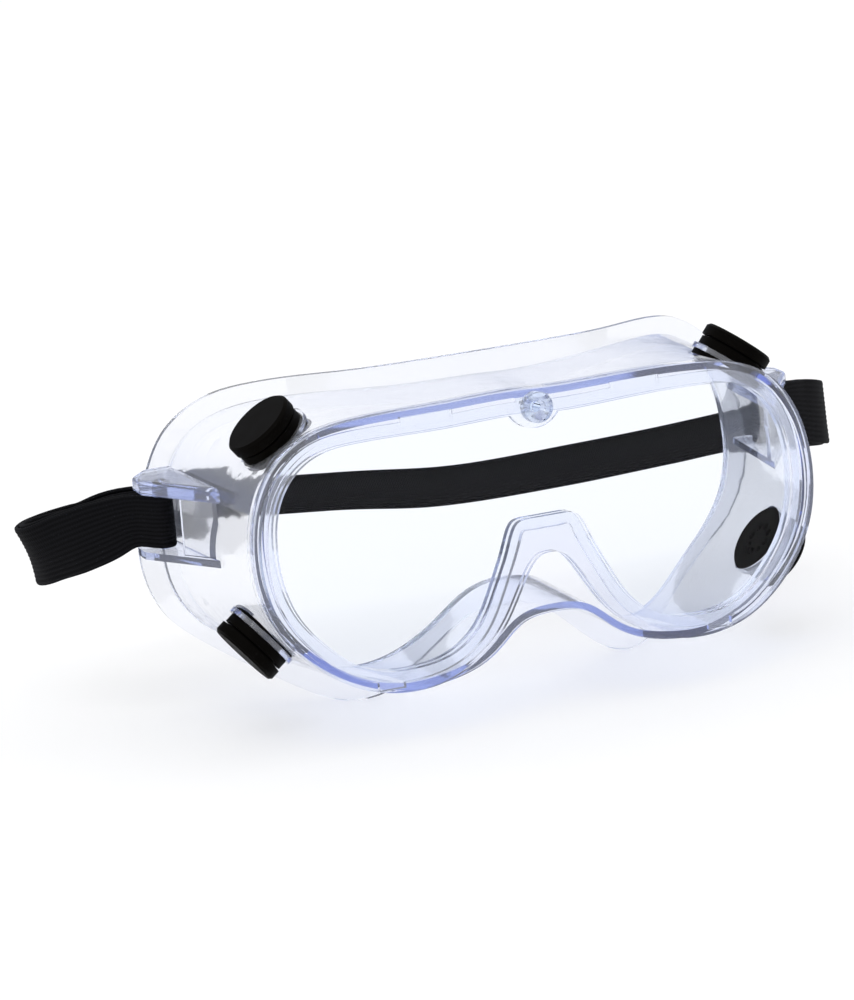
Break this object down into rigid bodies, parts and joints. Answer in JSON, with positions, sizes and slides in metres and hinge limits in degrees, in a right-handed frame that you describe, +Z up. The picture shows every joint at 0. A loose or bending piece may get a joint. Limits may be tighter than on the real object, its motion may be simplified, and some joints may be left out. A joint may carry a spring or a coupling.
{
  "type": "safety goggles",
  "caption": "Clear splash goggles with a bowed lens in a soft walled frame, capped side vents and a black elastic headband with a slide adjuster.",
  "frame": {"origin": "under the middle of the whole object, at its lowest point (the lower edge of the face flange)", "axes": "+Z up as worn, -Y the way the wearer looks, +X to the right as seen by someone facing the lens"},
  "size_m": [0.2432, 0.1145, 0.0924],
  "materials": {
    "clear_frame": "clear flexible vinyl, faint blue tint",
    "clear_lens": "clear polycarbonate, polished",
    "black_vent": "matt black moulding",
    "webbing": "black ribbed elastic webbing",
    "adjuster_black": "satin black moulding"
  },
  "bodies": {
    "frame": {"frame_body": "clear_frame", "lens": "clear_lens", "lens_stud": "clear_lens", "vent_base_upper_left": "black_vent", "vent_base_upper_right": "black_vent", "vent_base_lower_left": "black_vent", "vent_base_lower_right": "black_vent", "strap_loop_left": "webbing", "strap_loop_right": "webbing"},
    "headband": {"headband": "webbing", "strap_return": "webbing", "strap_hem": "webbing"},
    "adjuster": {"strap_adjuster": "adjuster_black", "strap_end_fold": "webbing"},
    "cap_upper_left": {"vent_cap_upper_left": "black_vent"},
    "cap_upper_right": {"vent_cap_upper_right": "black_vent"},
    "cap_lower_left": {"vent_cap_lower_left": "black_vent"},
    "cap_lower_right": {"vent_cap_lower_right": "black_vent"}
  },
  "joints": [
    {"name": "headband_swing", "type": "hinge", "parent": "frame", "child": "headband", "pos_m": [0, -0.0039, 0.057], "axis": [1, 0, 0], "range_deg": [-35, 60]},
    {"name": "adjuster_slide", "type": "slide", "parent": "headband", "child": "adjuster", "axis": [0.995, 0, -0.0995], "range_m": [0, 0.03]},
    {"name": "cap_upper_left_turn", "type": "hinge", "parent": "frame", "child": "cap_upper_left", "pos_m": [-0.0664, -0.0299, 0.0819], "axis": [-0.6157, 0, 0.788], "continuous": true},
    {"name": "cap_upper_right_turn", "type": "hinge", "parent": "frame", "child": "cap_upper_right", "pos_m": [0.0664, -0.0299, 0.0819], "axis": [0.6157, 0, 0.788], "continuous": true},
    {"name": "cap_lower_left_turn", "type": "hinge", "parent": "frame", "child": "cap_lower_left", "pos_m": [-0.0748, -0.0299, 0.0275], "axis": [-0.7771, 0, -0.6293], "continuous": true},
    {"name": "cap_lower_right_turn", "type": "hinge", "parent": "frame", "child": "cap_lower_right", "pos_m": [0.0748, -0.0299, 0.0275], "axis": [0.7771, 0, -0.6293], "continuous": true}
  ]
}
